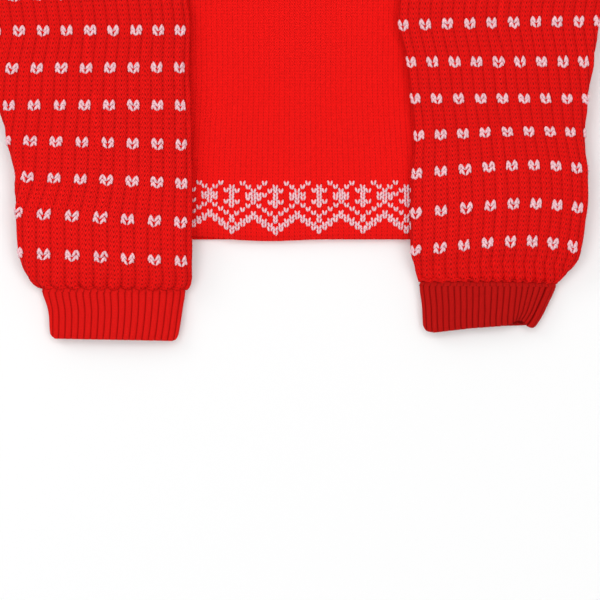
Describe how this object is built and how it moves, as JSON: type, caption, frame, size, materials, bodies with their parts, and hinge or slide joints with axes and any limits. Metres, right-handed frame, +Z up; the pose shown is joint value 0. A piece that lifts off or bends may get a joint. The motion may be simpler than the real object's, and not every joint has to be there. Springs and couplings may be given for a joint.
{
  "type": "jumper",
  "caption": "Knitted jumper lying flat, its ribbed sleeves folded over the front and able to open out to the sides; hollow body, sleeves and cuffs.",
  "frame": {"origin": "bottom centre of the bounding box: on the surface that the jumper lies on", "axes": "+X to the wearer's left, which is the right of the view from above; +Y from hem to shoulders; +Z up, out of the front panel"},
  "size_m": [0.5954, 0.6636, 0.0317],
  "materials": {
    "plain_knit": "soft red acrylic and wool yarn in plain knit, matt with a light fuzz; a band of pale pinkish white stars and zigzag on the front",
    "thick_rib_knit": "the same red yarn in a deep full rib, with small pale flecks knitted in",
    "fine_rib_knit": "the same red yarn in a fine elastic rib",
    "linking_yarn": "red linking yarn, a chain of small loops",
    "woven_label": "blank off-white woven satin tape"
  },
  "bodies": {
    "garment": {"front_panel": "plain_knit", "back_panel": "plain_knit", "neckband": "fine_rib_knit", "neckband_linking": "linking_yarn", "neck_label": "woven_label", "care_label": "woven_label", "left_side_seam": "linking_yarn", "left_shoulder_seam": "linking_yarn", "left_armhole_seam": "linking_yarn", "left_sleeve_head": "thick_rib_knit", "right_side_seam": "linking_yarn", "right_shoulder_seam": "linking_yarn", "right_armhole_seam": "linking_yarn", "right_sleeve_head": "thick_rib_knit"},
    "left_sleeve": {"left_sleeve": "thick_rib_knit", "left_sleeve_forearm": "thick_rib_knit", "left_sleeve_seam": "linking_yarn", "left_cuff_linking": "linking_yarn", "left_cuff": "fine_rib_knit", "left_cuff_seam": "linking_yarn"},
    "right_sleeve": {"right_sleeve": "thick_rib_knit", "right_sleeve_forearm": "thick_rib_knit", "right_sleeve_seam": "linking_yarn", "right_cuff_linking": "linking_yarn", "right_cuff": "fine_rib_knit", "right_cuff_seam": "linking_yarn"}
  },
  "joints": [
    {"name": "left_sleeve_fold", "type": "hinge", "parent": "garment", "child": "left_sleeve", "pos_m": [-0.26, 0.18525, 0.016], "axis": [-0.3137, -0.9495, 0], "range_deg": [0, 180]},
    {"name": "right_sleeve_fold", "type": "hinge", "parent": "garment", "child": "right_sleeve", "pos_m": [0.26, 0.18525, 0.016], "axis": [-0.3137, 0.9495, 0], "range_deg": [0, 180]}
  ]
}
